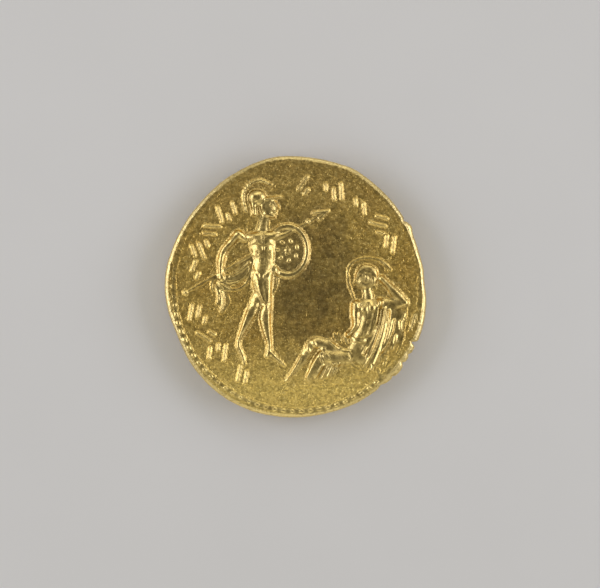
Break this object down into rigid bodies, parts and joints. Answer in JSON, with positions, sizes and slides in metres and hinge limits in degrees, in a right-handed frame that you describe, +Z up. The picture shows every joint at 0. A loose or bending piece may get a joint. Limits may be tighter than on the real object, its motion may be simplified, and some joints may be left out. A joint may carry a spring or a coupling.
{
  "type": "ancient gold coin",
  "caption": "Hand-struck gold coin with a walking warrior and a reclining sleeper in relief on its upper face and a wreathed head underneath.",
  "frame": {"origin": "in the plane the coin rests on, under the middle of its outline", "axes": "+Z up out of the figured face, +Y towards the top of the figured scene, +X to its right"},
  "size_m": [0.0192, 0.0192, 0.0024],
  "materials": {
    "gold": "satin"
  },
  "bodies": {
    "root": {"coin": "gold"}
  },
  "joints": []
}
